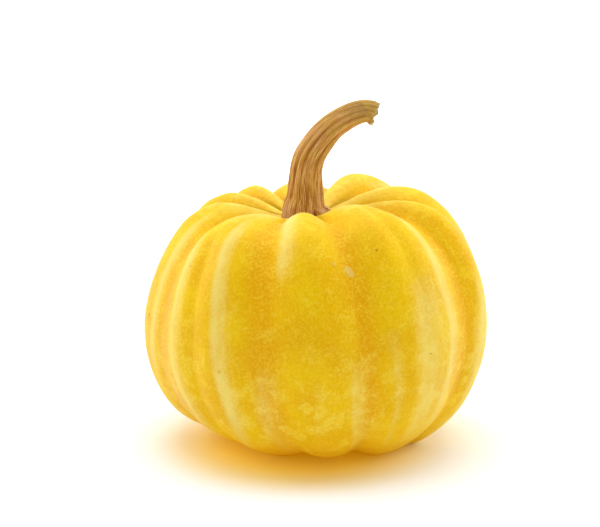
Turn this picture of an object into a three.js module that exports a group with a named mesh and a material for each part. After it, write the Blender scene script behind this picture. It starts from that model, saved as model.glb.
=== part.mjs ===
// A mini pumpkin: a squat fruit of ten lobes on a slight lean, with a woody stem that curves over.
// Millimetres, +Z up. The origin is under the middle of the pumpkin, on the surface that it rests on.
// Azimuths are in degrees round the fruit: 0 faces -Y and 90 faces +X.
import * as THREE from "three";

const { degToRad, euclideanModulo, smoothstep } = THREE.MathUtils;

// Stance
const LEAN_DEG = 6; // the whole fruit leans this far towards -X
const LEAN_CENTRE_Z = 33; // height of the point that it leans about
const SETTLE = { from: 0.6, to: 0.76 }; // stretch of the section over which the base comes level again
const PRESSED = 0.6; // how far the fruit is let down on to its flattened contact patches

// Half section of the fruit, from the seat of the stem out over the shoulder to the blossom end.
// Each point has its radius, its height, the depth of a furrow there, and the roundness of the
// furrow's bottom as a share of half a lobe's width.
const SECTION = [
  { r: 0, z: 61.2, depth: 0, round: 0.1 },
  { r: 6.8, z: 61.2, depth: 0.3, round: 0.1 },
  { r: 11.2, z: 62.9, depth: 1.6, round: 0.1 },
  { r: 17.5, z: 65, depth: 3, round: 0.12 },
  { r: 25, z: 65.6, depth: 3.4, round: 0.16 },
  { r: 33.5, z: 62, depth: 3.2, round: 0.2 },
  { r: 41, z: 52, depth: 2.6, round: 0.26 },
  { r: 44.9, z: 38, depth: 2.2, round: 0.3 },
  { r: 44, z: 24, depth: 2.1, round: 0.28 },
  { r: 38, z: 11.4, depth: 2.1, round: 0.22 },
  { r: 28, z: 3.2, depth: 2, round: 0.16 },
  { r: 19, z: 0, depth: 1.8, round: 0.12 },
  { r: 11.5, z: 1, depth: 1.2, round: 0.1 },
  { r: 5, z: 3.6, depth: 0.4, round: 0.1 },
  { r: 0, z: 4.4, depth: 0, round: 0.1 },
];

// Furrows, round the fruit: azimuth at the waist, share of the section's depth, and how many degrees
// the furrow has swung sideways by the time it reaches the stem and the blossom end.
const FURROWS = [
  { at: -16, share: 0.8, swingTop: -3, swingBase: 0 },
  { at: 16, share: 1, swingTop: -3, swingBase: -1 },
  { at: 60, share: 1.15, swingTop: -9, swingBase: 0 },
  { at: 82, share: 1, swingTop: 5, swingBase: 0 },
  { at: 123, share: 1.1, swingTop: 0, swingBase: 0 },
  { at: 164, share: 1, swingTop: 0, swingBase: 0 },
  { at: 203, share: 1, swingTop: 0, swingBase: 0 },
  { at: 224, share: 0.9, swingTop: 0, swingBase: 0 },
  { at: 249, share: 1, swingTop: 0, swingBase: 0 },
  { at: 293, share: 1.1, swingTop: 5, swingBase: 0 },
];

// Shape of each lobe, the first one between the first two furrows: its swell all the way down, its
// extra height at the crown, its extra swell at the shoulder and the belly, and its sag at the base.
const LOBES = [
  { swell: 0, crown: 0, shoulder: 0, belly: 0, sag: -0.6 },
  { swell: 0, crown: 0, shoulder: 0, belly: 0, sag: 0.3 },
  { swell: 1.2, crown: -3, shoulder: 0.3, belly: 0, sag: 0 },
  { swell: 0, crown: -0.8, shoulder: 0.3, belly: 0, sag: 0 },
  { swell: 0, crown: 1.3, shoulder: 0, belly: 0, sag: 0 },
  { swell: 0, crown: 0, shoulder: 0, belly: 0, sag: 0 },
  { swell: 0, crown: 0.9, shoulder: 0, belly: 0, sag: 0 },
  { swell: 0, crown: 0.6, shoulder: 0, belly: 0, sag: 0 },
  { swell: 0.6, crown: 0.4, shoulder: -1.8, belly: 0.6, sag: 0 },
  { swell: 0, crown: 0, shoulder: 0, belly: 0.2, sag: 0.6 },
];
// Where along the section each of those is felt most, and how far it reaches.
const CROWN = { centre: 0.26, reach: 0.12 };
const SHOULDER = { centre: 0.4, reach: 0.1 };
const BELLY = { centre: 0.6, reach: 0.12 };
const BASE = { centre: 0.78, reach: 0.1 };

// Shallow creases that run down the middle of two wide lobes, with their width in degrees.
const CREASES = [
  { at: -45, share: 0.75, from: 0.3, to: 0.95, width: 6 },
  { at: 38, share: 0.25, from: 0.2, to: 0.9, width: 5 },
];
const CREASE_START = 0.12; // stretch of the section over which a crease sets in
const CREASE_END = 0.15; // stretch of the section over which it dies away

// Centre line and radius of the stem, from the seat: out towards +X and up along the fruit's axis.
const STEM = [
  { out: 0, up: 0.3, radius: 6.5 },
  { out: 0, up: 1.9, radius: 5.6 },
  { out: 0.6, up: 4.6, radius: 4.6 },
  { out: 1.25, up: 8.5, radius: 4.15 },
  { out: 2.1, up: 12.2, radius: 3.9 },
  { out: 3.8, up: 15.7, radius: 3.7 },
  { out: 6.5, up: 19.1, radius: 3.5 },
  { out: 10, up: 22.1, radius: 3.25 },
  { out: 14.1, up: 24.3, radius: 3 },
  { out: 17.9, up: 25.3, radius: 2.85 },
  { out: 21.2, up: 24.8, radius: 3 },
];
const STEM_RIBS = { count: 5, height: 0.06 }; // height as a share of the radius

// Mesh fineness
const FRUIT_STEPS = 36; // along the section
const FRUIT_SEGMENTS = 96; // round the fruit
const STEM_STEPS = 24; // along the stem
const STEM_SEGMENTS = 30; // round the stem

const RIND = new THREE.MeshStandardMaterial({ color: 0xe2ac16, roughness: 0.45, metalness: 0 });
const WOOD = new THREE.MeshStandardMaterial({ color: 0xb5823f, roughness: 0.8, metalness: 0 });

// A smooth curve through a list of points, by two of their fields.
function curveThrough(points, first, second) {
  const stops = points.map((p) => new THREE.Vector3(p[first], p[second], 0));
  return new THREE.CatmullRomCurve3(stops, false, "catmullrom", 0.5);
}

const sectionLine = curveThrough(SECTION, "r", "z");
const sectionFurrow = curveThrough(SECTION, "depth", "round");

// A bump of height 1 at a centre, gone a little beyond its reach.
function bump(t, { centre, reach }) {
  return Math.exp(-(((t - centre) / reach) ** 2));
}

// Azimuth of a furrow at a place along the section.
function furrowAzimuth(furrow, t) {
  const s = 1 - 2 * t;
  return furrow.at + (s > 0 ? furrow.swingTop : furrow.swingBase) * s * s;
}

// How far the skin lies under the full section between two furrows.
function furrowDip(t, azimuth, { depth, round }) {
  for (let i = 0; i < FURROWS.length; i++) {
    const here = FURROWS[i];
    const next = FURROWS[(i + 1) % FURROWS.length];
    const start = furrowAzimuth(here, t);
    const width = euclideanModulo(furrowAzimuth(next, t) - start, 360);
    const along = euclideanModulo(azimuth - start, 360);
    if (along > width) continue;
    const nearHere = along <= width / 2;
    const toFurrow = (nearHere ? along : width - along) / (width / 2);
    const share = nearHere ? here.share : next.share;
    const softened = Math.hypot(toFurrow, round) - round;
    const rise = softened / (Math.hypot(1, round) - round);
    return depth * share * (1 - rise) ** 2;
  }
  return 0;
}

// How far the shallow creases dip there.
function creaseDip(t, azimuth, depth) {
  let dip = 0;
  for (const crease of CREASES) {
    const setIn = smoothstep(t, crease.from, crease.from + CREASE_START);
    const left = 1 - smoothstep(t, crease.to - CREASE_END, crease.to);
    const away = euclideanModulo(azimuth - crease.at + 180, 360) - 180;
    dip += crease.share * depth * setIn * left * Math.exp(-(Math.abs(away / crease.width) ** 1.5));
  }
  return dip;
}

// The lobe settings at an azimuth, eased from the middle of one lobe to the middle of the next.
function lobeShape(azimuth) {
  const middles = FURROWS.map((furrow, i) => {
    const next = FURROWS[(i + 1) % FURROWS.length];
    return furrow.at + euclideanModulo(next.at - furrow.at, 360) / 2;
  });
  for (let i = 0; i < LOBES.length; i++) {
    const j = (i + 1) % LOBES.length;
    const width = euclideanModulo(middles[j] - middles[i], 360);
    const along = euclideanModulo(azimuth - middles[i], 360);
    if (along > width) continue;
    const ease = smoothstep(along, 0, width);
    const blend = (key) => THREE.MathUtils.lerp(LOBES[i][key], LOBES[j][key], ease);
    return Object.fromEntries(Object.keys(LOBES[i]).map((key) => [key, blend(key)]));
  }
  return LOBES[0];
}

// A point of the skin: t runs from 0 at the stem's seat to 1 at the blossom end.
function skinPoint(t, azimuth) {
  const { x: r, y: z } = sectionLine.getPoint(t);
  const tangent = sectionLine.getTangent(t);
  const furrow = sectionFurrow.getPoint(t);
  const lobe = lobeShape(azimuth);
  const dip =
    furrowDip(t, azimuth, { depth: furrow.x, round: furrow.y }) + creaseDip(t, azimuth, furrow.x);
  const swell =
    lobe.swell * Math.sin(Math.PI * t) + lobe.shoulder * bump(t, SHOULDER) + lobe.belly * bump(t, BELLY);
  const out = swell - dip;
  const radius = Math.max(r - tangent.y * out, 0);
  const height = z + tangent.x * out + lobe.crown * bump(t, CROWN) - lobe.sag * bump(t, BASE);
  const angle = degToRad(azimuth);
  const x = radius * Math.sin(angle);
  const levelled = Math.tan(degToRad(LEAN_DEG)) * x * smoothstep(t, SETTLE.from, SETTLE.to);
  return new THREE.Vector3(x, -radius * Math.cos(angle), height - levelled);
}

// Leans a shape over and lets it down to where it rests.
function stand(geometry) {
  geometry.translate(0, 0, -LEAN_CENTRE_Z);
  geometry.rotateY(-degToRad(LEAN_DEG));
  geometry.translate(0, 0, LEAN_CENTRE_Z - PRESSED);
  return geometry;
}

// The fruit: a lathed section, each point of it moved to the lobed skin, and flat where it rests.
function makeFruit() {
  const steps = Array.from({ length: FRUIT_STEPS + 1 }, (_, i) => 1 - i / FRUIT_STEPS);
  const outline = steps.map((t) => new THREE.Vector2(sectionLine.getPoint(t).x, sectionLine.getPoint(t).y));
  const geometry = new THREE.LatheGeometry(outline, FRUIT_SEGMENTS);
  const position = geometry.getAttribute("position");
  for (let i = 0; i < position.count; i++) {
    const t = steps[i % steps.length];
    const atPole = t === 0 || t === 1;
    const segment = Math.floor(i / steps.length) % FRUIT_SEGMENTS;
    const point = skinPoint(t, atPole ? 0 : (360 * segment) / FRUIT_SEGMENTS);
    position.setXYZ(i, point.x, point.y, point.z);
  }
  stand(geometry);
  for (let i = 0; i < position.count; i++) {
    position.setZ(i, Math.max(position.getZ(i), 0));
  }
  geometry.computeVertexNormals();
  const fruit = new THREE.Mesh(geometry, RIND);
  fruit.name = "fruit";
  return fruit;
}

// The stem: a cylinder bent along its centre line, ribbed, and cut square at its free end.
function makeStem() {
  const centreLine = curveThrough(STEM, "out", "up");
  const thickness = curveThrough(STEM, "radius", "radius");
  const front = new THREE.Vector3(0, -1, 0);
  const geometry = new THREE.CylinderGeometry(1, 1, 1, STEM_SEGMENTS, STEM_STEPS);
  const position = geometry.getAttribute("position");
  for (let i = 0; i < position.count; i++) {
    const sideways = position.getX(i);
    const forward = position.getZ(i);
    const t = position.getY(i) + 0.5;
    const middle = centreLine.getPoint(t);
    const tangent = centreLine.getTangent(t);
    const along = new THREE.Vector3(tangent.x, 0, tangent.y);
    const side = new THREE.Vector3().crossVectors(along, front);
    const rib = 1 + STEM_RIBS.height * Math.cos(STEM_RIBS.count * Math.atan2(sideways, forward));
    const radius = thickness.getPoint(t).x * rib;
    const point = new THREE.Vector3(middle.x, 0, SECTION[0].z + middle.y)
      .addScaledVector(side, sideways * radius)
      .addScaledVector(front, forward * radius);
    position.setXYZ(i, point.x, point.y, point.z);
  }
  stand(geometry);
  geometry.computeVertexNormals();
  const stem = new THREE.Mesh(geometry, WOOD);
  stem.name = "stem";
  return stem;
}

const pumpkin = new THREE.Group();
pumpkin.name = "mini_pumpkin";
pumpkin.add(makeFruit(), makeStem());
const extent = new THREE.Box3().setFromObject(pumpkin);
const middle = extent.getCenter(new THREE.Vector3());
pumpkin.position.set(-middle.x, -middle.y, -extent.min.z);

export default pumpkin;
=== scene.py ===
"""The looks of a mini pumpkin: its lobed golden rind and its dry curved stem, on a white studio floor."""
import logging
import math
from dataclasses import dataclass, field
from enum import Enum
from typing import Any, Sequence

import bmesh
import bpy
import numpy as np
from mathutils import Matrix, Vector


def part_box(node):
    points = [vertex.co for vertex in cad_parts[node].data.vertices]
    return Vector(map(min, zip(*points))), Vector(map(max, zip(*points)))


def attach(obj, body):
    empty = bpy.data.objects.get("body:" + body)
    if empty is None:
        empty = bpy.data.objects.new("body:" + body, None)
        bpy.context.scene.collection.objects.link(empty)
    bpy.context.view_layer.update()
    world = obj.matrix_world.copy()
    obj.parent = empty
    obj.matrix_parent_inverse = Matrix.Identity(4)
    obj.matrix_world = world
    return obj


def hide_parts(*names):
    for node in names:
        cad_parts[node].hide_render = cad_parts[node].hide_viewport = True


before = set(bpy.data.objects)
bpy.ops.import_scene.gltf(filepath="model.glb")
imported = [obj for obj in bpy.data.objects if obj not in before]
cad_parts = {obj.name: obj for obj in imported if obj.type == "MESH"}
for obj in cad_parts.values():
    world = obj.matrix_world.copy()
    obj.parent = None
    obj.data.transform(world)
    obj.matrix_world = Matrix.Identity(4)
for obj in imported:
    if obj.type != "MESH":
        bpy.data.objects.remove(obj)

MM = 0.001  # metres in a millimetre
FULL_TURN = 360.0
LEAN_DEG = 6.0  # the whole fruit leans this far towards -X
LEAN_CENTRE = 33.0  # height of the point that it leans about, mm
PRESSED = 0.6  # how far it is let down on to its contact patches, mm

log = logging.getLogger("mini_pumpkin")


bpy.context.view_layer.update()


# ---------------- curves and easing


def catmull(points: Sequence[Sequence[float]], t: np.ndarray) -> tuple[np.ndarray, np.ndarray]:
    """Follows a smooth curve through evenly timed points.

    Args:
        points: the points, each with any number of fields.
        t: places along the curve, from 0 to 1.

    Returns:
        The values there and their slopes, one row per place.
    """
    stops = np.asarray(points, float)
    spans = len(stops) - 1
    padded = np.vstack([2 * stops[0] - stops[1], stops, 2 * stops[-1] - stops[-2]])
    place = np.clip(t, 0.0, 1.0) * spans
    span = np.minimum(place.astype(int), spans - 1)
    f = (place - span)[:, None]
    p0, p1, p2, p3 = (padded[span + k] for k in range(4))
    a = 2 * p0 - 5 * p1 + 4 * p2 - p3
    b = -p0 + 3 * p1 - 3 * p2 + p3
    value = 0.5 * (2 * p1 + (p2 - p0) * f + a * f**2 + b * f**3)
    slope = 0.5 * ((p2 - p0) + 2 * a * f + 3 * b * f**2)
    return value, slope


def smooth(x: np.ndarray, low: float, high: float) -> np.ndarray:
    """Eases from 0 to 1 between two limits.

    Args:
        x: the values.
        low: where the easing starts.
        high: where it ends.

    Returns:
        The eased values.
    """
    k = np.clip((x - low) / (high - low), 0.0, 1.0)
    return k * k * (3 - 2 * k)


def bump(x: np.ndarray, centre: float, reach: float) -> np.ndarray:
    """A hump of height 1 at a centre.

    Args:
        x: the values.
        centre: where the hump is highest.
        reach: how far it reaches.

    Returns:
        The height of the hump at each value.
    """
    return np.exp(-(((x - centre) / reach) ** 2))


def turn_between(angle: np.ndarray, centre: float | np.ndarray) -> np.ndarray:
    """Signed way round from one azimuth to another, in degrees.

    Args:
        angle: the azimuths.
        centre: the azimuth they are measured from.

    Returns:
        Angles from -180 to 180.
    """
    return (angle - centre + 180.0) % FULL_TURN - 180.0


def around(turn: np.ndarray, up: np.ndarray, reach: float | np.ndarray = 1.0) -> np.ndarray:
    """Places round a bar, for patterns that follow a body round and along.

    Args:
        turn: ways round, in radians.
        up: heights.
        reach: how far out from the bar's axis.

    Returns:
        The places, one per row.
    """
    return np.stack([reach * np.cos(turn), reach * np.sin(turn), up], axis=-1)


@dataclass(frozen=True)
class Ripples:
    """Soft random unevenness over a body, the same in every run."""

    seed: int
    waves: int
    finest: float  # highest number of waves over the body
    coarsest: float  # lowest number of waves over the body
    height: float = 1.0  # about how far they rise and fall

    def at(self, places: np.ndarray) -> np.ndarray:
        """Unevenness at some places.

        Args:
            places: points of about unit size, one per row.

        Returns:
            Heights, above and below 0.
        """
        draw = np.random.default_rng(self.seed)
        total = np.zeros(len(places))
        for _ in range(self.waves):
            heading = draw.normal(size=3)
            heading /= np.linalg.norm(heading)
            pace = draw.uniform(self.coarsest, self.finest)
            total += np.cos(places @ heading * pace + draw.uniform(0, 2 * math.pi))
        return self.height * total / math.sqrt(self.waves)


def stand(x: np.ndarray, y: np.ndarray, z: np.ndarray) -> np.ndarray:
    """Leans points over and lets them down to where the fruit rests.

    Args:
        x: across, mm.
        y: away from the front, mm.
        z: up, mm.

    Returns:
        The points, one per row, in mm.
    """
    lean = math.radians(LEAN_DEG)
    up = z - LEAN_CENTRE
    leaned_x = x * math.cos(lean) - up * math.sin(lean)
    leaned_z = LEAN_CENTRE - PRESSED + x * math.sin(lean) + up * math.cos(lean)
    return np.stack([leaned_x, y, leaned_z], axis=-1)


# ---------------- meshes and objects


def mesh_of(bm: bmesh.types.BMesh, name: str) -> bpy.types.Mesh:
    """Turns a bmesh into a mesh and frees it.

    Args:
        bm: the bmesh.
        name: the mesh's name.

    Returns:
        The mesh.
    """
    mesh = bpy.data.meshes.new(name)
    bm.to_mesh(mesh)
    bm.free()
    return mesh


def coordinates(mesh: bpy.types.Mesh) -> np.ndarray:
    """A mesh's points, one per row."""
    found = np.empty(len(mesh.vertices) * 3)
    mesh.vertices.foreach_get("co", found)
    return found.reshape(-1, 3)


def add(name: str, data: bpy.types.ID) -> bpy.types.Object:
    """Adds an object to the scene.

    Args:
        name: the object's name.
        data: its mesh, camera or light.

    Returns:
        The object.
    """
    made = bpy.data.objects.new(name, data)
    bpy.context.scene.collection.objects.link(made)
    return made


def shaped(mesh: bpy.types.Mesh, points: np.ndarray, readings: dict[str, np.ndarray]) -> bpy.types.Object:
    """Gives a mesh its shape and what its finish reads, and adds it to the scene.

    Args:
        mesh: the mesh.
        points: where its points go, mm.
        readings: numbers or vectors for its points, by name.

    Returns:
        The object, named as the mesh is.
    """
    mesh.vertices.foreach_set("co", (points * MM).ravel())
    for name, values in readings.items():
        kind, key = ("FLOAT", "value") if values.ndim == 1 else ("FLOAT_VECTOR", "vector")
        mesh.attributes.new(name, kind, "POINT").data.foreach_set(key, values.ravel())
    mesh.polygons.foreach_set("use_smooth", np.ones(len(mesh.polygons), bool))
    return add(mesh.name, mesh)


# ---------------- shader graphs


class Link:
    """A node's output that plain arithmetic can be done with."""

    def __init__(self, graph: "Graph", socket: bpy.types.NodeSocket) -> None:
        """Wraps a socket of a graph."""
        self.graph = graph
        self.socket = socket

    def _math(self, operation: str, first: Any, second: Any) -> "Link":
        """Adds a Math node of two inputs.

        Args:
            operation: the Math node's operation.
            first: its first input.
            second: its second input.

        Returns:
            The node's output.
        """
        return self.graph.node("ShaderNodeMath", {"operation": operation}, {0: first, 1: second})

    def __add__(self, other: Any) -> "Link":
        """Sum with a number or link."""
        return self._math("ADD", self, other)

    def __radd__(self, other: Any) -> "Link":
        """Sum with a number on the left."""
        return self._math("ADD", other, self)

    def __sub__(self, other: Any) -> "Link":
        """Difference from a number or link."""
        return self._math("SUBTRACT", self, other)

    def __rsub__(self, other: Any) -> "Link":
        """A number less this link."""
        return self._math("SUBTRACT", other, self)

    def __mul__(self, other: Any) -> "Link":
        """Product with a number or link."""
        return self._math("MULTIPLY", self, other)

    def __rmul__(self, other: Any) -> "Link":
        """Product with a number on the left."""
        return self._math("MULTIPLY", other, self)


@dataclass(frozen=True)
class Grain:
    """How fine a random pattern is."""

    scale: float
    detail: float  # how many finer layers it has
    roughness: float  # how strong those layers are


class Graph:
    """The node tree of one finish, or of the surround."""

    def __init__(self, owner: bpy.types.Material | bpy.types.World) -> None:
        """Empties the tree of a material or a world.

        Args:
            owner: the material or world.
        """
        self.owner = owner
        owner.use_nodes = True
        self.tree = owner.node_tree
        self.tree.nodes.clear()

    def node(
        self, kind: str, settings: dict[str, Any], inputs: dict[Any, Any], output: Any = 0
    ) -> Link | None:
        """Adds a node.

        Args:
            kind: the node's type.
            settings: its settings, which are set first.
            inputs: values or links, by the socket's name or number.
            output: the name or number of the output that is wanted.

        Returns:
            That output, or nothing for a node that ends the tree.
        """
        made = self.tree.nodes.new(kind)
        for key, value in settings.items():
            setattr(made, key, value)
        for key, value in inputs.items():
            if isinstance(value, Link):
                self.tree.links.new(value.socket, made.inputs[key])
            else:
                made.inputs[key].default_value = value
        return Link(self, made.outputs[output]) if len(made.outputs) else None

    def attribute(self, name: str, output: str = "Fac") -> Link:
        """Reads one of the piece's own attributes.

        Args:
            name: the attribute's name.
            output: "Fac" for a number and "Vector" for a vector.

        Returns:
            The reading.
        """
        return self.node("ShaderNodeAttribute", {"attribute_name": name}, {}, output)

    def place(self) -> Link:
        """Object coordinates, in metres."""
        return self.node("ShaderNodeTexCoord", {}, {}, "Object")

    def noise(self, where: Link, grain: Grain) -> Link:
        """Soft random noise from 0 to 1.

        Args:
            where: the place it is read at.
            grain: how fine it is.

        Returns:
            The noise.
        """
        wants = {"Scale": grain.scale, "Detail": grain.detail, "Roughness": grain.roughness}
        return self.node("ShaderNodeTexNoise", {}, {"Vector": where, **wants}, "Fac")

    def jitter(self, where: Link, scale: float, size: float) -> Link:
        """Shifts places at random, by half the size on average along each axis.

        Args:
            where: the places.
            scale: how fine the pattern of shifts is.
            size: the largest shift along each axis.

        Returns:
            The shifted places.
        """
        shift = self.node("ShaderNodeTexNoise", {}, {"Vector": where, "Scale": scale}, "Color")
        wants = {0: shift, 1: (size, size, size), 2: where}
        return self.node("ShaderNodeVectorMath", {"operation": "MULTIPLY_ADD"}, wants, "Vector")

    def ease(self, value: Link, low: float, high: float) -> Link:
        """Eases from 0 to 1 between two limits, or back where low is the larger.

        Args:
            value: what is eased.
            low: where it gives 0.
            high: where it gives 1.

        Returns:
            The eased value.
        """
        if low > high:
            return 1 - self.ease(value, high, low)
        wants = {"Value": value, "From Min": low, "From Max": high}
        return self.node("ShaderNodeMapRange", {"interpolation_type": "SMOOTHSTEP"}, wants, "Result")

    def mix(self, share: Any, under: Any, over: Any) -> Link:
        """Lays one colour over another.

        Args:
            share: how much of the upper colour shows.
            under: the lower colour.
            over: the upper colour.

        Returns:
            The mixed colour.
        """
        # the node's colour sockets come after its number and vector ones
        return self.node("ShaderNodeMix", {"data_type": "RGBA"}, {0: share, 6: under, 7: over}, 2)

    def distance(self, where: Link, point: Sequence[float]) -> Link:
        """How far a place is from a fixed point.

        Args:
            where: the place.
            point: the fixed point.

        Returns:
            The distance, in the place's own units.
        """
        wants = {0: where, 1: tuple(point)}
        return self.node("ShaderNodeVectorMath", {"operation": "DISTANCE"}, wants, "Value")

    def relief(self, height: Link, depth: float, strength: float = 1.0) -> Link:
        """Turns a height into a surface direction.

        Args:
            height: heights of about 0 to 1.
            depth: what a height of 1 stands for, in metres.
            strength: how much of it shows.

        Returns:
            The direction.
        """
        wants = {"Strength": strength, "Distance": depth, "Height": height}
        return self.node("ShaderNodeBump", {}, wants, "Normal")

    def finish(self, inputs: dict[str, Any]) -> bpy.types.Material:
        """Ends the tree in a Principled surface.

        Args:
            inputs: the surface's values and links, by socket name.

        Returns:
            The material.
        """
        surface = self.node("ShaderNodeBsdfPrincipled", {}, inputs, "BSDF")
        self.node("ShaderNodeOutputMaterial", {}, {"Surface": surface})
        return self.owner


def shade(red: float, green: float, blue: float) -> tuple[float, float, float, float]:
    """A colour for a shader from its screen value.

    Args:
        red: red, 0 to 255.
        green: green, 0 to 255.
        blue: blue, 0 to 255.

    Returns:
        The colour in linear light, with full alpha.
    """
    scaled = (value / 255.0 for value in (red, green, blue))
    linear = [v / 12.92 if v <= 0.04045 else ((v + 0.055) / 1.055) ** 2.4 for v in scaled]
    return (linear[0], linear[1], linear[2], 1.0)


# ---------------- the fruit


@dataclass(frozen=True)
class Furrow:
    """One furrow between two lobes."""

    at: float  # azimuth at the waist, degrees
    share: float  # share of the section's furrow depth
    swing_top: float = 0.0  # degrees it has swung by the time it reaches the stem
    swing_base: float = 0.0  # degrees it has swung by the time it reaches the blossom end


@dataclass(frozen=True)
class Lobe:
    """How one lobe differs from the plain section, mm."""

    swell: float = 0.0  # all the way down
    crown: float = 0.0  # extra height at the crown
    shoulder: float = 0.0  # extra swell at the shoulder
    belly: float = 0.0  # extra swell at the belly
    sag: float = 0.0  # sag at the base


@dataclass(frozen=True)
class Crease:
    """A shallow crease down the middle of a wide lobe."""

    at: float  # azimuth, degrees
    share: float  # share of the section's furrow depth
    start: float  # where it sets in, along the section
    end: float  # where it has died away
    width: float  # degrees


@dataclass(frozen=True)
class Streak:
    """A stripe of paler or deeper skin that runs down the fruit."""

    at: float  # azimuth at the waist, degrees
    width: float  # degrees
    start: float  # where it fades in, along the section
    end: float  # where it has faded out
    strength: float
    lean: float = 0.0  # degrees it moves sideways from its start to its end

    def shows(self, t: np.ndarray, azimuth: np.ndarray) -> np.ndarray:
        """How strongly it shows on the skin, with one edge sharper than the other.

        Args:
            t: places along the section.
            azimuth: their azimuths.

        Returns:
            Strength from 0 to 1.
        """
        share = np.clip((t - self.start) / (self.end - self.start), 0, 1)
        window = smooth(share, 0.0, 0.22) * (1 - smooth(share, 0.7, 1.0))
        wobble = 0.8 * np.sin(19 * t + self.at) + 0.5 * np.sin(43 * t + 2 * self.at)
        away = turn_between(azimuth, self.at + self.lean * (share - 0.5) + wobble)
        edge = np.where(away < 0, self.width * 0.45, self.width)
        return self.strength * window * np.exp(-np.abs(away / edge) ** 1.8)


class Mark(Enum):
    """Kinds of small blemish."""

    SCAB = "scab"
    FLECK = "fleck"


@dataclass(frozen=True)
class Blemish:
    """A small blemish on the rind."""

    kind: Mark
    along: float  # place along the section
    at: float  # azimuth, degrees
    size: float  # radius, mm


@dataclass(frozen=True)
class RindReadings:
    """What the layers of the rind go by, each from 0 to 1."""

    crest: Link  # from the bottom of a furrow to the middle of a lobe
    down: Link  # from the seat of the stem to the blossom end
    streaks: Link
    bands: Link
    grain: Link  # runs lengthwise
    broad: Link
    blotch: Link
    fine: Link
    pore: Link
    patch: Link  # where the blotches are
    lower: Link  # the lower half


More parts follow.
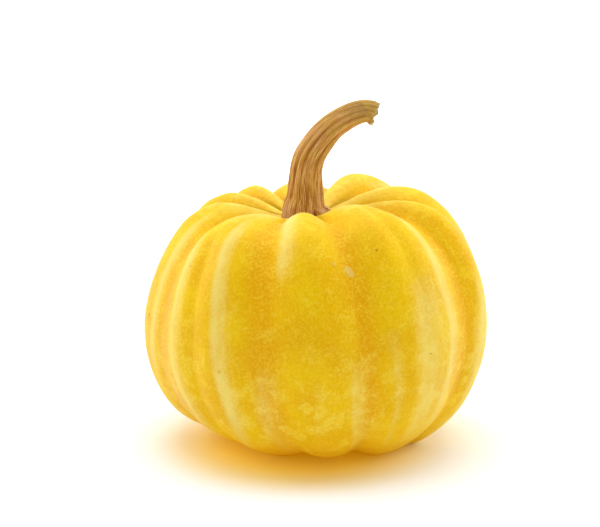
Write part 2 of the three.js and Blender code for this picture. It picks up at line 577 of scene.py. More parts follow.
@dataclass(frozen=True)
class RindFinish:
    """Waxy golden rind, deeper in the furrows, with pale streaks, cloudy patches and fine specks, painted
    top light on the crests round the stem and painted bounce light underneath.
    """

    gold: tuple = shade(226, 184, 0)
    deep_gold: tuple = shade(220, 169, 0)
    # painted bounce light: the brighter yellow that lifts the underside, in place of light thrown up from
    # the floor
    bright: tuple = shade(255, 214, 30)
    orange: tuple = shade(219, 156, 0)
    cream_and_painted_light: tuple = shade(231, 209, 112)
    pale_and_painted_light: tuple = shade(236, 206, 54)
    scab: tuple = shade(222, 188, 92)
    brown: tuple = shade(128, 92, 24)
    olive: tuple = shade(138, 112, 8)
    lengthwise: Grain = Grain(30.0, 4.0, 0.6)
    clouds: Grain = Grain(95.0, 3.0, 0.55)
    blotches: Grain = Grain(230.0, 4.0, 0.6)
    specks: Grain = Grain(1600.0, 2.0, 0.6)
    pores: Grain = Grain(720.0, 3.0, 0.6)
    # where along the section each zone sets in, and where it is full
    lower: tuple = (0.44, 0.62)
    top: tuple = (0.40, 0.24)
    # the crests in the collar are lifted partly by pale skin, partly by painted top light
    collar_pale_and_painted_light: tuple = (0.34, 0.20)
    # the underside takes the painted bounce light from here down
    base: tuple = (0.60, 0.72)
    stem_seat: tuple = (0.25, 0.12)
    blossom_end: tuple = (0.93, 0.975)
    scar: tuple = (0.972, 0.985)
    # how much of its colour the full zone shows
    furrow_share: float = 0.68
    painted_bounce_share: float = 0.55
    seat_share: float = 0.7
    blossom_share: float = 0.35
    scab_share: float = 0.85
    fleck_share: float = 0.5
    furrow: tuple = (0.38, 0.0)  # where between crest and furrow the deeper gold sets in
    blemish_edge: tuple = (1.15, 0.75)  # where a blemish sets in, and is full, in its radii
    jitter_scale: float = 900.0
    jitter: float = 0.0011  # how far the edges of the blemishes stray, metres
    smoothest: float = 0.36
    dulling: float = 0.16  # what the dull patches add to the roughness
    gloss: float = 0.08
    bending: float = 1.42  # the wax's index of refraction
    flesh: float = 0.07  # how much light goes into the flesh
    flesh_depth: float = 0.002
    flesh_radius: tuple = (1.0, 0.7, 0.15)
    relief_depth: float = 0.00035
    relief_share: float = 0.55

    def _ground(self, g: Graph, r: RindReadings) -> Link:
        """Gold, deeper in the furrows and along the bands.

        Args:
            g: the graph.
            r: the readings.

        Returns:
            The colour.
        """
        colour = g.mix(g.ease(r.broad, 0.35, 0.65), self.gold, self.deep_gold)
        colour = g.mix(g.ease(r.crest, *self.furrow) * self.furrow_share, colour, self.orange)
        return g.mix(r.bands * (r.grain * 0.5 + 0.35), colour, self.orange)

    def _clouds(self, g: Graph, r: RindReadings, colour: Link) -> Link:
        """Pale cloudy patches, thickest low down and round the top, with painted top light on the crests of
        the lobes round the stem.

        Args:
            g: the graph.
            r: the readings.
            colour: the colour underneath.

        Returns:
            The colour.
        """
        top = g.ease(r.down, *self.top)
        crown = top * g.ease(r.crest, 0.1, 0.7)
        colour = g.mix(r.patch * (r.lower * 0.38 + crown * 0.2 + 0.12), colour, self.pale_and_painted_light)
        # painted top light: the crests round the top lifted evenly towards pale, more where the pale
        # patches lie
        colour = g.mix(crown * (r.patch * 0.35 + 0.28), colour, self.pale_and_painted_light)
        colour = g.mix(top * g.ease(r.grain, 0.48, 0.62) * 0.40, colour, self.orange)
        # the collar's cream crests: pale skin in the patches, and painted top light evenly over them
        collar_pale_and_painted_light = g.ease(r.down, *self.collar_pale_and_painted_light) * g.ease(r.crest, 0.15, 0.8)
        return g.mix(collar_pale_and_painted_light * (r.patch * 0.35 + 0.32), colour, self.cream_and_painted_light)

    def _specks(self, g: Graph, r: RindReadings, colour: Link) -> Link:
        """Fine deep pores, and fine pale specks that gather along the grain.

        Args:
            g: the graph.
            r: the readings.
            colour: the colour underneath.

        Returns:
            The colour.
        """
        colour = g.mix(g.ease(r.pore, 0.52, 0.34) * 0.36, colour, self.orange)
        light = g.ease(r.fine, 0.42, 0.62) * (r.grain + 0.5)
        colour = g.mix(light * (r.patch * 0.25 + 0.32), colour, self.pale_and_painted_light)
        return g.mix(light * r.patch * r.lower * 0.22, colour, self.cream_and_painted_light)

    def _streaks(self, g: Graph, r: RindReadings, colour: Link) -> Link:
        """Cream streaks with ragged edges.

        Args:
            g: the graph.
            r: the readings.
            colour: the colour underneath.

        Returns:
            The colour.
        """
        uneven = (r.fine - 0.5) * 0.4 + (r.grain - 0.5) * 0.7 + (r.blotch - 0.5) * 0.7
        ragged = g.ease(r.streaks + uneven, -0.05, 1.25)
        return g.mix(ragged * g.ease(r.streaks, 0.0, 0.5), colour, self.cream_and_painted_light)

    def _ends(self, g: Graph, r: RindReadings, colour: Link) -> Link:
        """The underside lifted with painted bounce light, the green round the stem and the brown blossom
        scar.

        Args:
            g: the graph.
            r: the readings.
            colour: the colour underneath.

        Returns:
            The colour.
        """
        # painted bounce light: the underside lifted towards bright yellow
        colour = g.mix(g.ease(r.down, *self.base) * self.painted_bounce_share, colour, self.bright)
        seat = g.ease(r.down, *self.stem_seat) * g.ease(r.crest, 0.5, 0.05)
        colour = g.mix(seat * self.seat_share, colour, self.olive)
        colour = g.mix(g.ease(r.down, *self.blossom_end) * self.blossom_share, colour, self.olive)
        return g.mix(g.ease(r.down, *self.scar) * (0.6 + r.pore * 0.4), colour, self.brown)

    def _blemishes(
        self, g: Graph, marks: Sequence[tuple[Blemish, Vector]], colour: Link
    ) -> tuple[Link, Any]:
        """Small scabs and flecks.

        Args:
            g: the graph.
            marks: the blemishes with their places in metres.
            colour: the colour underneath.

        Returns:
            The colour, and where the scabs are.
        """
        strayed = g.jitter(g.place(), self.jitter_scale, self.jitter)
        average = Vector([self.jitter / 2] * 3)
        scabs: Any = 0.0
        for blemish, point in marks:
            limits = (blemish.size * MM * edge for edge in self.blemish_edge)
            spot = g.ease(g.distance(strayed, point + average), *limits)
            if blemish.kind is Mark.SCAB:
                colour = g.mix(spot * self.scab_share, colour, self.scab)
                scabs = spot + scabs
            else:
                colour = g.mix(spot * self.fleck_share, colour, self.brown)
        return colour, scabs

    def material(self, marks: Sequence[tuple[Blemish, Vector]]) -> bpy.types.Material:
        """Builds the rind's material.

        Args:
            marks: the blemishes with their places in metres.

        Returns:
            The material.
        """
        g = Graph(bpy.data.materials.new("golden_rind"))
        here = g.place()
        down = g.attribute("down")
        blotch = g.noise(here, self.blotches)
        r = RindReadings(
            crest=g.attribute("crest"),
            down=down,
            streaks=g.attribute("streaks"),
            bands=g.attribute("bands"),
            grain=g.noise(g.attribute("wrap", "Vector"), self.lengthwise),
            broad=g.noise(here, self.clouds),
            blotch=blotch,
            fine=g.noise(here, self.specks),
            pore=g.noise(here, self.pores),
            patch=g.ease(blotch, 0.46, 0.66),
            lower=g.ease(down, *self.lower),
        )
        colour = self._ground(g, r)
        for layer in (self._clouds, self._specks, self._streaks, self._ends):
            colour = layer(g, r, colour)
        colour, scabs = self._blemishes(g, marks, colour)
        dull = g.ease(r.pore * 0.4 + r.blotch * 0.6, 0.2, 0.9)
        relief = r.blotch * 0.5 + r.pore * 0.3 + r.grain * 0.3 + scabs * 0.6
        return g.finish({
            "Base Color": colour,
            "Roughness": dull * self.dulling + self.smoothest,
            "IOR": self.bending,
            "Specular IOR Level": self.gloss,
            "Subsurface Weight": self.flesh,
            "Subsurface Radius": self.flesh_radius,
            "Subsurface Scale": self.flesh_depth,
            "Normal": g.relief(relief, self.relief_depth, self.relief_share),
        })


@dataclass
class Fruit:
    """The lobed fruit, from the seat of the stem to the blossom scar. Sizes in mm."""

    columns: int = 384
    rows: int = 224
    # radius, height, furrow depth, and how round the bottoms of the furrows are
    section: tuple = (
        (0, 61.2, 0, 0.1), (6.8, 61.2, 0.3, 0.1), (11.2, 62.9, 1.6, 0.1), (17.5, 65, 3, 0.12),
        (25, 65.6, 3.4, 0.16), (33.5, 62, 3.2, 0.2), (41, 52, 2.6, 0.26), (44.9, 38, 2.2, 0.3),
        (44, 24, 2.1, 0.28), (38, 11.4, 2.1, 0.22), (28, 3.2, 2, 0.16), (19, 0, 1.8, 0.12),
        (11.5, 1, 1.2, 0.1), (5, 3.6, 0.4, 0.1), (0, 4.4, 0, 0.1),
    )
    furrows: tuple = (
        Furrow(-16, 0.8, -3), Furrow(16, 1, -3, -1), Furrow(60, 1.15, -9), Furrow(82, 1, 5),
        Furrow(123, 1.1), Furrow(164, 1), Furrow(203, 1), Furrow(224, 0.9), Furrow(249, 1),
        Furrow(293, 1.1, 5),
    )
    lobes: tuple = (
        Lobe(sag=-0.6), Lobe(sag=0.3), Lobe(swell=1.2, crown=-3, shoulder=0.3),
        Lobe(crown=-0.8, shoulder=0.3), Lobe(crown=1.3), Lobe(), Lobe(crown=0.9), Lobe(crown=0.6),
        Lobe(swell=0.6, crown=0.4, shoulder=-1.8, belly=0.6), Lobe(belly=0.2, sag=0.6),
    )
    creases: tuple = (Crease(-45, 0.75, 0.3, 0.95, 6), Crease(38, 0.25, 0.2, 0.9, 5))
    # how much of the section a crease takes to set in, and to die away
    crease_start: float = 0.12
    crease_end: float = 0.15
    # where along the section the lobes' own settings act, and how far they reach
    crown: tuple = (0.26, 0.12)
    shoulder: tuple = (0.4, 0.1)
    belly: tuple = (0.6, 0.12)
    base: tuple = (0.78, 0.1)
    level: tuple = (0.6, 0.76)  # the lean is taken out of the underside between these
    closed: tuple = (0.03, 0.985)  # beyond these the skin closes on the axis
    streaks: tuple = (
        Streak(-56, 5.5, 0.28, 0.76, 0.82, 5), Streak(-34, 5.0, 0.24, 0.74, 0.86),
        Streak(-10, 6.0, 0.14, 0.46, 0.85, 2), Streak(49, 5.0, 0.17, 0.78, 0.85, -4),
        Streak(38, 12.0, 0.40, 0.74, 0.62),
        Streak(-76, 4.5, 0.25, 0.62, 0.8), Streak(69, 9.0, 0.42, 0.84, 0.75),
        Streak(-20, 8.0, 0.50, 0.78, 0.45), Streak(12, 6.0, 0.50, 0.78, 0.50),
        Streak(-2, 3.0, 0.50, 0.8, 0.3), Streak(26, 4.0, 0.46, 0.74, 0.4),
        Streak(104, 6.0, 0.22, 0.70, 0.55), Streak(131, 5.0, 0.20, 0.75, 0.65, 4),
        Streak(150, 7.0, 0.34, 0.70, 0.40), Streak(178, 5.5, 0.22, 0.66, 0.60),
        Streak(209, 4.6, 0.20, 0.70, 0.55, -4), Streak(238, 5.5, 0.30, 0.75, 0.65),
        Streak(262, 6.0, 0.22, 0.62, 0.50), Streak(274, 4.4, 0.30, 0.75, 0.40),
    )
    bands: tuple = (
        Streak(-21, 6.0, 0.22, 0.76, 0.9, 2), Streak(16, 2.6, 0.22, 0.92, 1.0, 2),
        Streak(64, 5.0, 0.18, 0.48, 0.8), Streak(-66, 5.0, 0.25, 0.70, 0.6),
        Streak(5, 5.0, 0.40, 0.58, 0.6), Streak(118, 5.0, 0.25, 0.72, 0.8),
        Streak(165, 4.0, 0.20, 0.80, 0.7), Streak(199, 5.0, 0.25, 0.70, 0.8),
        Streak(251, 5.0, 0.22, 0.76, 0.8),
    )
    blemishes: tuple = (
        Blemish(Mark.SCAB, 0.411, 14.8, 1.05), Blemish(Mark.SCAB, 0.418, 15.5, 0.95),
        Blemish(Mark.SCAB, 0.402, 10.0, 0.55), Blemish(Mark.FLECK, 0.395, 27.2, 0.32),
        Blemish(Mark.FLECK, 0.354, 28.8, 0.26), Blemish(Mark.FLECK, 0.533, -32.8, 0.36),
        Blemish(Mark.FLECK, 0.488, -79.2, 0.42), Blemish(Mark.FLECK, 0.321, 63.8, 0.34),
        Blemish(Mark.FLECK, 0.541, 38.5, 0.26), Blemish(Mark.FLECK, 0.384, -56.0, 0.34),
        Blemish(Mark.FLECK, 0.402, -52.5, 0.3), Blemish(Mark.FLECK, 0.47, 140.0, 0.36),
        Blemish(Mark.SCAB, 0.55, 190.0, 0.9), Blemish(Mark.FLECK, 0.38, 232.0, 0.36),
        Blemish(Mark.FLECK, 0.6, 110.0, 0.34),
    )
    hollows: Ripples = Ripples(seed=4, waves=26, finest=22.0, coarsest=7.0, height=0.10)
    pores: Ripples = Ripples(seed=9, waves=40, finest=70.0, coarsest=34.0, height=0.022)
    ribs: Ripples = Ripples(seed=17, waves=30, finest=58.0, coarsest=20.0)
    rib_height: float = 0.035
    flank_height: float = 0.05  # added to the ribs on the flanks of the lobes
    flank: tuple = (0.28, 0.25)  # where the flanks are between furrow and crest, and their reach
    pleats: Ripples = Ripples(seed=23, waves=14, finest=26.0, coarsest=12.0, height=0.28)
    pleated: tuple = (0.105, 0.05)  # where the skin gathers round the stem, and how far
    puckers: Ripples = Ripples(seed=31, waves=14, finest=30.0, coarsest=12.0, height=0.16)
    puckered: tuple = (0.93, 0.05)  # where it gathers round the blossom end, and how far
    # height, place along the section and reach
    scar_rings: tuple = ((0.45, 0.972, 0.008), (-0.35, 0.986, 0.006))
    rib_pitch: float = 0.12  # how little the ribs and pleats change along the section
    grain_pitch: float = 0.16  # and the rind's grain
    finish: RindFinish = field(default_factory=RindFinish)

    def _furrow(self, t: np.ndarray, azimuth: np.ndarray) -> tuple[np.ndarray, np.ndarray]:
        """Reads where places lie between two furrows.

        Args:
            t: places along the section.
            azimuth: their azimuths.

        Returns:
            How far each is from the nearer furrow (0) towards the lobe's middle (1), and that
            furrow's share of the depth.
        """
        s = 1 - 2 * t
        sway = [f.at + np.where(s > 0, f.swing_top, f.swing_base) * s * s for f in self.furrows]
        crest = np.ones_like(t)
        share = np.ones_like(t)
        for i, here in enumerate(self.furrows):
            j = (i + 1) % len(self.furrows)
            width = (sway[j] - sway[i]) % FULL_TURN
            along = (azimuth - sway[i]) % FULL_TURN
            inside = along <= width
            near = along <= width / 2
            reading = np.where(near, along, width - along) / (width / 2)
            crest = np.where(inside, reading, crest)
            share = np.where(inside, np.where(near, here.share, self.furrows[j].share), share)
        return crest, share

    def _lobe(self, azimuth: np.ndarray) -> dict[str, np.ndarray]:
        """Eases the lobe settings round the fruit.

        Args:
            azimuth: the azimuths.

        Returns:
            Each setting at each azimuth.
        """
        count = len(self.furrows)
        middles = []
        for i, here in enumerate(self.furrows):
            after = self.furrows[(i + 1) % count]
            middles.append(here.at + ((after.at - here.at) % FULL_TURN) / 2)
        names = ("swell", "crown", "shoulder", "belly", "sag")
        found = {name: np.zeros_like(azimuth) for name in names}
        for i in range(count):
            j = (i + 1) % count
            width = (middles[j] - middles[i]) % FULL_TURN
            along = (azimuth - middles[i]) % FULL_TURN
            inside = along <= width
            ease = smooth(along, 0.0, width)
            for name in names:
                first, last = getattr(self.lobes[i], name), getattr(self.lobes[j], name)
                found[name] = np.where(inside, first + (last - first) * ease, found[name])
        return found

    def _fine(self, t: np.ndarray, azimuth: np.ndarray, crest: np.ndarray) -> np.ndarray:
        """Fine unevenness of the skin.

        Args:
            t: places along the section.
            azimuth: their azimuths.
            crest: how far each is from its furrow, 0 to 1.

        Returns:
            How far the skin stands out, mm.
        """
        turn = np.radians(azimuth)
        polar = math.pi * t
        girth = np.sin(polar)
        ball = np.stack([girth * np.sin(turn), -girth * np.cos(turn), np.cos(polar)], axis=-1)
        ring = around(turn, self.rib_pitch * t)
        rib = self.rib_height + self.flank_height * bump(crest, *self.flank)
        out = girth * (self.hollows.at(ball) + self.pores.at(ball) + rib * self.ribs.at(ring))
        out += bump(t, *self.pleated) * self.pleats.at(ring)
        out += bump(t, *self.puckered) * self.puckers.at(ring)
        for height, place, reach in self.scar_rings:
            out += height * bump(t, place, reach)
        return out

    def skin(self, t: np.ndarray, azimuth: np.ndarray) -> tuple[np.ndarray, np.ndarray]:
        """The skin at some places.

        Args:
            t: places along the section, from 0 at the seat to 1 at the blossom end.
            azimuth: their azimuths, degrees.

        Returns:
            The points in mm, before they are centred, and how far each is from its furrow.
        """
        value, slope = catmull(self.section, t)
        radius, height, depth, roundness = value.T
        length = np.hypot(slope[:, 0], slope[:, 1])
        across, along = -slope[:, 1] / length, slope[:, 0] / length
        crest, share = self._furrow(t, azimuth)
        softened = np.hypot(crest, roundness) - roundness
        rise = softened / (np.hypot(1.0, roundness) - roundness)
        dip = depth * share * (1 - rise) ** 2
        for c in self.creases:
            window = smooth(t, c.start, c.start + self.crease_start)
            window = window * (1 - smooth(t, c.end - self.crease_end, c.end))
            away = np.abs(turn_between(azimuth, c.at)) / c.width
            dip = dip + c.share * depth * window * np.exp(-(away**1.5))
        lobe = self._lobe(azimuth)
        out = lobe["swell"] * np.sin(np.pi * t) + lobe["shoulder"] * bump(t, *self.shoulder)
        out = out + lobe["belly"] * bump(t, *self.belly) - dip + self._fine(t, azimuth, crest)
        pole = smooth(t, 0.0, self.closed[0]) * (1 - smooth(t, self.closed[1], 1.0))
        r = np.maximum(radius + across * out, 0.0) * np.where(pole > 0, 1.0, 0.0)
        z = height + along * out * pole
        z = z + (lobe["crown"] * bump(t, *self.crown) - lobe["sag"] * bump(t, *self.base)) * pole
        turn = np.radians(azimuth)
        x, y = r * np.sin(turn), -r * np.cos(turn)
        z = z - math.tan(math.radians(LEAN_DEG)) * x * smooth(t, *self.level)
        return stand(x, y, z), crest

    def centring(self) -> np.ndarray:
        """How far the raw shape moves so that it lies where the frame has it.

        Returns:
            The shift in mm.
        """
        t, azimuth = np.meshgrid(np.linspace(0.2, 0.8, 61), np.linspace(0, 360, 181))
        raw, _ = self.skin(t.ravel(), azimuth.ravel())
        low, high = (np.array(corner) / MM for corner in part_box("fruit"))
        middle = (raw.min(axis=0) + raw.max(axis=0)) / 2
        shift = (low + high) / 2 - middle
        return np.array([shift[0], shift[1], low[2]])

    def point(self, blemish: Blemish, shift: np.ndarray) -> Vector:
        """Where a blemish lies.

        Args:
            blemish: the blemish.
            shift: the centring shift in mm.

        Returns:
            Its place in metres.
        """
        found, _ = self.skin(np.array([blemish.along]), np.array([blemish.at]))
        return Vector((found[0] + shift) * MM)

    def build(self) -> bpy.types.Object:
        """Makes the fruit.

        Returns:
            The fruit's object.
        """
        bm = bmesh.new()
        bmesh.ops.create_uvsphere(bm, u_segments=self.columns, v_segments=self.rows, radius=1.0)
        mesh = mesh_of(bm, "pumpkin_fruit")
        ball = coordinates(mesh)
        t = np.arccos(np.clip(ball[:, 2], -1, 1)) / math.pi
        azimuth = np.degrees(np.arctan2(ball[:, 0], -ball[:, 1]))
        points, crest = self.skin(t, azimuth)
        points = points + self.centring()
        points[:, 2] = np.maximum(points[:, 2], 0.0)
        return shaped(mesh, points, {
            "crest": crest,
            "down": t,
            "streaks": np.maximum.reduce([streak.shows(t, azimuth) for streak in self.streaks]),
            "bands": np.maximum.reduce([band.shows(t, azimuth) for band in self.bands]),
            "wrap": around(np.radians(azimuth), self.grain_pitch * t),
        })

    def dress(self, fruit: bpy.types.Object) -> None:
        """Gives the fruit its finish.

        Args:
            fruit: the fruit's object.
        """
        shift = self.centring()
        marks = [(blemish, self.point(blemish, shift)) for blemish in self.blemishes]
        fruit.data.materials.append(self.finish.material(marks))


# ---------------- the stem


@dataclass(frozen=True)
class StemFinish:
    """Dry tan stalk, with painted shade darkening its grooves and pale fibres along its ribs that are
    partly painted highlight.
    """

    tan: tuple = shade(216, 154, 52)
    # pale fibres, which along the rib crests are partly painted highlight
    pale_and_painted_light: tuple = shade(242, 202, 122)
    brown: tuple = shade(178, 110, 34)
    # painted shade: the dark brown laid into the grooves
    dark: tuple = shade(118, 58, 12)
    rust: tuple = shade(140, 70, 18)
    olive: tuple = shade(158, 136, 62)
    yellow: tuple = shade(208, 178, 84)
    blush: tuple = shade(222, 166, 112)
    cut: tuple = shade(236, 216, 168)
    ash: tuple = shade(212, 178, 148)
    fibres: Grain = Grain(7.5, 5.0, 0.65)
    threads: Grain = Grain(24.0, 5.0, 0.75)
    clouds: Grain = Grain(190.0, 3.0, 0.6)
    grit: Grain = Grain(1500.0, 3.0, 0.6)
    # where along the stem each zone sets in, and where it is full
    upper: tuple = (0.35, 0.7)
    tip: tuple = (0.72, 0.95)
    foot: tuple = (0.16, 0.03)
    smoothest: float = 0.58
    dulling: float = 0.2
    gloss: float = 0.2
    relief_depth: float = 0.0008

    def material(self) -> bpy.types.Material:
        """Builds the stem's material.

        Returns:
            The material.
        """
        g = Graph(bpy.data.materials.new("dry_stalk"))
        here = g.place()
        rib = g.attribute("rib")
        up = g.attribute("up")
        lie = g.attribute("lie", "Vector")
        fibre = g.noise(lie, self.fibres)
        thread = g.noise(lie, self.threads)
        cloud = g.noise(here, self.clouds)
        grit = g.noise(here, self.grit)

        colour = g.mix(g.ease(fibre, 0.34, 0.66), self.brown, self.tan)
        # pale fibres along the ribs, partly painted highlight on the rib crests
        colour = g.mix(g.ease(rib, 0.4, 0.98) * g.ease(thread, 0.44, 0.60) * 0.9, colour, self.pale_and_painted_light)
        colour = g.mix(g.ease(thread, 0.49, 0.37) * 0.7, colour, self.rust)
        # painted shade: darkens the grooves, deepest at their bottoms
        colour = g.mix(g.ease(rib, 0.5, 0.0) * 0.75, colour, self.dark)
        colour = g.mix(g.ease(cloud, 0.46, 0.64) * 0.25, colour, self.blush)
        upper = g.ease(up, *self.upper) * g.ease(cloud, 0.58, 0.42)
        colour = g.mix(upper * 0.5, colour, self.yellow)
        tip = g.ease(up, *self.tip) * g.ease(cloud, 0.38, 0.6)
        colour = g.mix(tip * 0.5, colour, self.olive)
        foot = g.ease(up, *self.foot) * g.ease(thread, 0.40, 0.60) * g.ease(rib, 0.2, 0.8)
        colour = g.mix(foot * 0.75, colour, self.ash)
        colour = g.mix(g.ease(grit, 0.6, 0.72) * 0.25, colour, self.pale_and_painted_light)
        colour = g.mix(g.attribute("cut") * (0.55 + thread * 0.45), colour, self.cut)
        return g.finish({
            "Base Color": colour,
            "Roughness": thread * self.dulling + self.smoothest,
            "Specular IOR Level": self.gloss,
            "Normal": g.relief(fibre * 0.5 + thread * 0.45 + grit * 0.25, self.relief_depth),
        })


@dataclass
class Stem:
    """The stalk: a splayed foot, ribs that run its whole length, and a ragged cut end. Sizes in mm."""

    columns: int = 200
    rows: int = 220
    seat: float = 61.2  # height of the seat on the fruit's axis
    # out towards +X, up along the fruit's axis, radius
    line: tuple = (
        (0, -0.2, 6.7), (0, 1.9, 5.8), (0.5, 4.6, 4.85), (1.0, 8.5, 4.45), (1.7, 12.2, 4.25),
        (3.3, 15.8, 4.05), (6.1, 19.2, 3.85), (9.7, 22.2, 3.55), (13.9, 24.3, 3.25), (17.7, 25.2, 3.0),
        (20.8, 24.6, 2.9),
    )
    # azimuth, depth as a share of the radius, width in degrees
    grooves: tuple = (
        (-160, 0.11, 7), (-128, 0.07, 6), (-100, 0.10, 6), (-72, 0.08, 6), (-46, 0.10, 6),
        (-20, 0.12, 7), (6, 0.08, 5), (34, 0.12, 7), (72, 0.08, 6), (112, 0.11, 7), (150, 0.07, 6),
    )
    twist: float = 16.0  # degrees the grooves turn from foot to tip
    wander: float = 2.5  # degrees they stray to each side
    steady: float = 0.72  # share of a groove's depth that it keeps all along
    fading: float = 0.38  # and the share that comes and goes
    full_groove: float = 0.14  # share of the radius at which a groove shows as the deepest
    foot_end: float = 0.11  # the foot has run into the stalk by here
    foot_groove: float = 0.6  # how much deeper the grooves are in the foot
    toes: Ripples = Ripples(seed=41, waves=9, finest=9.6, coarsest=4.8, height=0.06)
    threads: Ripples = Ripples(seed=43, waves=24, finest=34.0, coarsest=14.0, height=0.012)
    lumps: Ripples = Ripples(seed=47, waves=12, finest=9.0, coarsest=3.0, height=0.012)
    torn: Ripples = Ripples(seed=53, waves=20, finest=16.0, coarsest=3.0, height=0.42)
    flare: float = 0.16  # how much wider the cut end is on its upper side
    flare_from: float = 0.965
    slant: float = 0.30  # how far the cut end leans back, as a share of its width
    slant_from: float = 0.93
    pale_from: float = 0.992  # the pale cut shows from here
    pith: float = 0.9  # depth of the hollow in the cut end
    proud: float = 0.15  # how far its rim stands out
    grain_pitch: float = 0.35  # how little the finish's fibres change along the stem
    cap_rings: int = 9
    finish: StemFinish = field(default_factory=StemFinish)

    def _groove(self, azimuth: np.ndarray, t: np.ndarray) -> np.ndarray:
        """How deep the grooves are.

        Args:
            azimuth: azimuths round the stem.
            t: places along it.

        Returns:
            Depth as a share of the radius.
        """
        depth = np.zeros_like(t)
        for at, deep, width in self.grooves:
            stray = self.wander * np.sin(7 * t + at) + self.twist * (t - 0.3)
            away = turn_between(azimuth, at + stray)
            fade = self.steady + self.fading * np.sin(10 * t + 2.1 * at)
            depth = depth + deep * fade * np.exp(-np.abs(away / width) ** 1.6)
        return depth

    def _jut(self, t: np.ndarray, turn: np.ndarray, reach: np.ndarray, side: np.ndarray) -> np.ndarray:
        """How far the torn end stands out along the stem.

        Args:
            t: places along the stem.
            turn: ways round it, in radians.
            reach: 1 on its side, and less towards the middle of its ends.
            side: how far each place is from the stem's line, mm.

        Returns:
            How far, mm.
        """
        ragged = self.torn.at(around(turn, 1.5 * reach)) * (0.4 + 0.6 * reach)
        end = ragged - self.pith * (1 - reach) ** 0.7 + self.proud
        return np.where(t > 0.999, end, 0.0) - self.slant * side * smooth(t, self.slant_from, 1.0)

    def shape(self, t: np.ndarray, azimuth: np.ndarray, reach: np.ndarray) -> tuple[np.ndarray, np.ndarray]:
        """The stem's surface at some places.

        Args:
            t: places along it.
            azimuth: azimuths round it.
            reach: 1 on its side, and less towards the middle of its ends.

        Returns:
            The points in mm, before they are centred, and the height of the ribs from 0 to 1.
        """
        value, slope = catmull(self.line, t)
        out, up, radius = value.T
        length = np.hypot(slope[:, 0], slope[:, 1])
        along_x, along_z = slope[:, 0] / length, slope[:, 1] / length
        turn = np.radians(azimuth)
        groove = self._groove(azimuth, t)
        foot = 1 - smooth(t, 0.0, self.foot_end)
        bar = around(turn, 0.3 * t)
        share = 1 + self.threads.at(bar) + self.lumps.at(around(turn, 7 * t))
        share += foot * self.toes.at(bar) - groove * (1 + self.foot_groove * foot)
        share += self.flare * smooth(t, self.flare_from, 1.0) * np.sin(turn)
        r = radius * reach * share
        side, front = r * np.sin(turn), r * np.cos(turn)
        jut = self._jut(t, turn, reach, side)
        x = out + side * along_z + jut * along_x
        z = self.seat + up - side * along_x + jut * along_z
        rib = 1 - np.clip(groove / self.full_groove, 0, 1)
        return stand(x, -front, z), rib

    def build(self, shift: np.ndarray) -> bpy.types.Object:
        """Makes the stem.

        Args:
            shift: the fruit's centring shift in mm.

        Returns:
            The stem's object.
        """
        bm = bmesh.new()
        bmesh.ops.create_cone(
            bm, cap_ends=True, cap_tris=False, segments=self.columns, radius1=1.0, radius2=1.0, depth=1.0
        )
        upright = [e for e in bm.edges if abs(e.verts[0].co.z - e.verts[1].co.z) > 0.5]
        bmesh.ops.subdivide_edges(bm, edges=upright, cuts=self.rows, use_grid_fill=False)
        for end in (-0.5, 0.5):
            cap = [f for f in bm.faces if all(abs(v.co.z - end) < 1e-6 for v in f.verts)]
            for _ in range(self.cap_rings):
                bmesh.ops.inset_region(bm, faces=cap, thickness=1.0 / (self.cap_rings + 1))
            bmesh.ops.poke(bm, faces=cap)
        mesh = mesh_of(bm, "pumpkin_stem")
        rod = coordinates(mesh)
        t = rod[:, 2] + 0.5
        reach = np.minimum(np.hypot(rod[:, 0], rod[:, 1]), 1.0)
        azimuth = np.degrees(np.arctan2(rod[:, 0], rod[:, 1]))
        points, rib = self.shape(t, azimuth, reach)
        return shaped(mesh, points + shift, {
            "rib": rib,
            "up": t,
            "cut": smooth(t, self.pale_from, 1.0) * np.where(reach < 0.99, 1.0, 0.55),
            "lie": around(np.radians(azimuth), self.grain_pitch * t, reach),
        })

    def dress(self, stem: bpy.types.Object) -> None:
        """Gives the stem its finish.

        Args:
            stem: the stem's object.
        """
        stem.data.materials.append(self.finish.material())


# ---------------- the studio


@dataclass(frozen=True)
class Lamp:
    """A soft square light that faces the pumpkin. Sizes in metres."""

    name: str
    place: tuple
    size: float
    watts: float


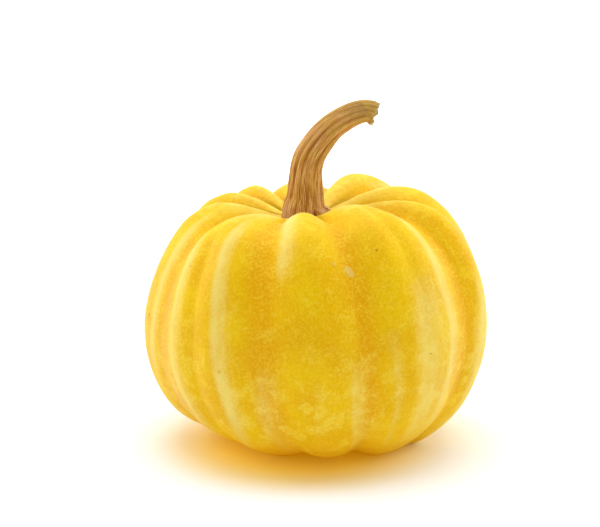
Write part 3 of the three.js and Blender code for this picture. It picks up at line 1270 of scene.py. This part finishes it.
@dataclass
class Studio:
    """A white floor, soft lights all round, and the camera. Sizes in metres."""

    lens: float = 100.0  # mm
    sensor: float = 36.0  # mm
    nearest: float = 0.01  # nothing closer to the camera is seen
    distance: float = 0.44
    elevation: float = 13.0  # degrees
    aim: tuple = (-0.0038, 0.0, 0.047)  # from the middle of the floor's contact
    floor_size: float = 6.0
    floor_gap: float = 0.0001  # keeps the floor clear of the fruit's flat feet
    floor_white: tuple = (0.93, 0.93, 0.93, 1)
    floor_roughness: float = 0.9
    # painted bounce light: a warm tint and an amber glow painted on the floor round the fruit, in place of
    # the light the fruit throws down
    painted_bounce_centre: tuple = (-0.004, -0.0095, 0.0)
    painted_bounce_core: float = 0.017  # the painted warm bounce light is full out to here
    painted_bounce_reach: float = 0.041  # and fades to white by here
    painted_bounce_tint: tuple = (0.93, 0.75, 0.20, 1)
    painted_bounce_glow: tuple = (0.18, 0.10, 0.0, 1)
    dark: tuple = (0.0, 0.0, 0.0, 1)
    far_from: float = 0.15  # beyond the lamps' reach the floor is kept white
    far_to: float = 0.6
    far_light: tuple = (0.45, 0.45, 0.45, 1)
    lamps: tuple = (
        Lamp("top_box", (0.0, 0.15, 0.9), 0.9, 6.0),
        Lamp("left_box", (-0.8, 0.35, 0.45), 0.6, 3.0),
        Lamp("right_box", (0.8, 0.35, 0.45), 0.6, 3.0),
    )
    lamps_aim: tuple = (0.0, 0.0, 0.035)
    tent_cast: float = 0.9  # strength of the light it gives
    tent_seen: float = 1.1  # strength of the white that the camera sees
    tent_depth: tuple = (-0.9, 0.3)  # directions, from the front to the back, that it brightens over
    tent_light: tuple = (0.45, 1.15)  # and how bright it is there

    def camera(self) -> None:
        """Sets up the camera."""
        data = bpy.data.cameras.new("camera")
        data.lens = self.lens
        data.sensor_width = self.sensor
        data.clip_start = self.nearest
        camera = add("camera", data)
        tilt = math.radians(self.elevation)
        back = Vector((0, -math.cos(tilt), math.sin(tilt)))
        camera.location = Vector(self.aim) + back * self.distance
        camera.rotation_euler = (math.radians(90) - tilt, 0, 0)
        bpy.context.scene.camera = camera

    def floor(self) -> None:
        """Lays the white floor, with painted warm bounce light round the fruit."""
        bm = bmesh.new()
        bmesh.ops.create_grid(bm, x_segments=1, y_segments=1, size=self.floor_size / 2)
        mesh = mesh_of(bm, "studio_floor")
        mesh.transform(Matrix.Translation((0.0, 0.0, -self.floor_gap)))
        g = Graph(bpy.data.materials.new("white_floor"))
        away = g.distance(g.place(), self.painted_bounce_centre)
        # where the painted bounce light shows, full near the fruit and gone by its reach
        near = g.ease(away, self.painted_bounce_reach, self.painted_bounce_core)
        far = g.ease(away, self.far_from, self.far_to)
        mesh.materials.append(g.finish({
            # the warm tint in the colour and the amber glow near the fruit are painted bounce light; far
            # off the floor glows evenly white
            "Base Color": g.mix(near, self.floor_white, self.painted_bounce_tint),
            "Roughness": self.floor_roughness,
            "Specular IOR Level": 0.0,
            "Emission Color": g.mix(far, g.mix(near, self.dark, self.painted_bounce_glow), self.far_light),
            "Emission Strength": 1.0,
        }))
        add("studio_floor", mesh)

    def light(self, lamp: Lamp) -> None:
        """Hangs a lamp.

        Args:
            lamp: the lamp.
        """
        data = bpy.data.lights.new(lamp.name, "AREA")
        data.shape = "SQUARE"
        data.size = lamp.size
        data.energy = lamp.watts
        hung = add(lamp.name, data)
        hung.location = lamp.place
        towards = Vector(self.lamps_aim) - Vector(lamp.place)
        hung.rotation_euler = towards.to_track_quat("-Z", "Y").to_euler()

    def surround(self) -> None:
        """Makes the white surround, a little dimmer on the side that the front faces."""
        world = bpy.data.worlds.new("white_tent")
        bpy.context.scene.world = world
        g = Graph(world)
        heading = g.node("ShaderNodeTexCoord", {}, {}, "Generated")
        depth = g.node("ShaderNodeSeparateXYZ", {}, {0: heading}, "Y")
        limits = dict(zip(("From Min", "From Max", "To Min", "To Max"), self.tent_depth + self.tent_light))
        bright = g.node("ShaderNodeMapRange", {}, {"Value": depth, **limits}, "Result")
        cast = g.node("ShaderNodeBackground", {}, {"Color": bright, "Strength": self.tent_cast})
        seen = g.node("ShaderNodeBackground", {}, {"Strength": self.tent_seen})
        to_camera = g.node("ShaderNodeLightPath", {}, {}, "Is Camera Ray")
        tent = g.node("ShaderNodeMixShader", {}, {0: to_camera, 1: cast, 2: seen})
        g.node("ShaderNodeOutputWorld", {}, {"Surface": tent})

    def build(self) -> None:
        """Sets up the camera, the floor, the surround and the lights."""
        self.camera()
        self.floor()
        self.surround()
        for lamp in self.lamps:
            self.light(lamp)
        bpy.context.scene.view_settings.view_transform = "Standard"


def tie(piece: bpy.types.Object, node: str) -> None:
    """Ties a finished piece to the frame.

    Args:
        piece: the piece.
        node: the CAD node that it stands for.
    """
    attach(piece, "root")
    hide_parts(node)
    log.info("%s: %d faces", piece.name, len(piece.data.polygons))


def main() -> None:
    """Builds the studio, the fruit and the stem."""
    logging.basicConfig(level=logging.INFO, format="%(name)s %(message)s")
    Studio().build()
    fruit = Fruit()
    body = fruit.build()
    fruit.dress(body)
    tie(body, "fruit")
    stem = Stem()
    stalk = stem.build(fruit.centring())
    stem.dress(stalk)
    tie(stalk, "stem")


if __name__ == "__main__":
    main()
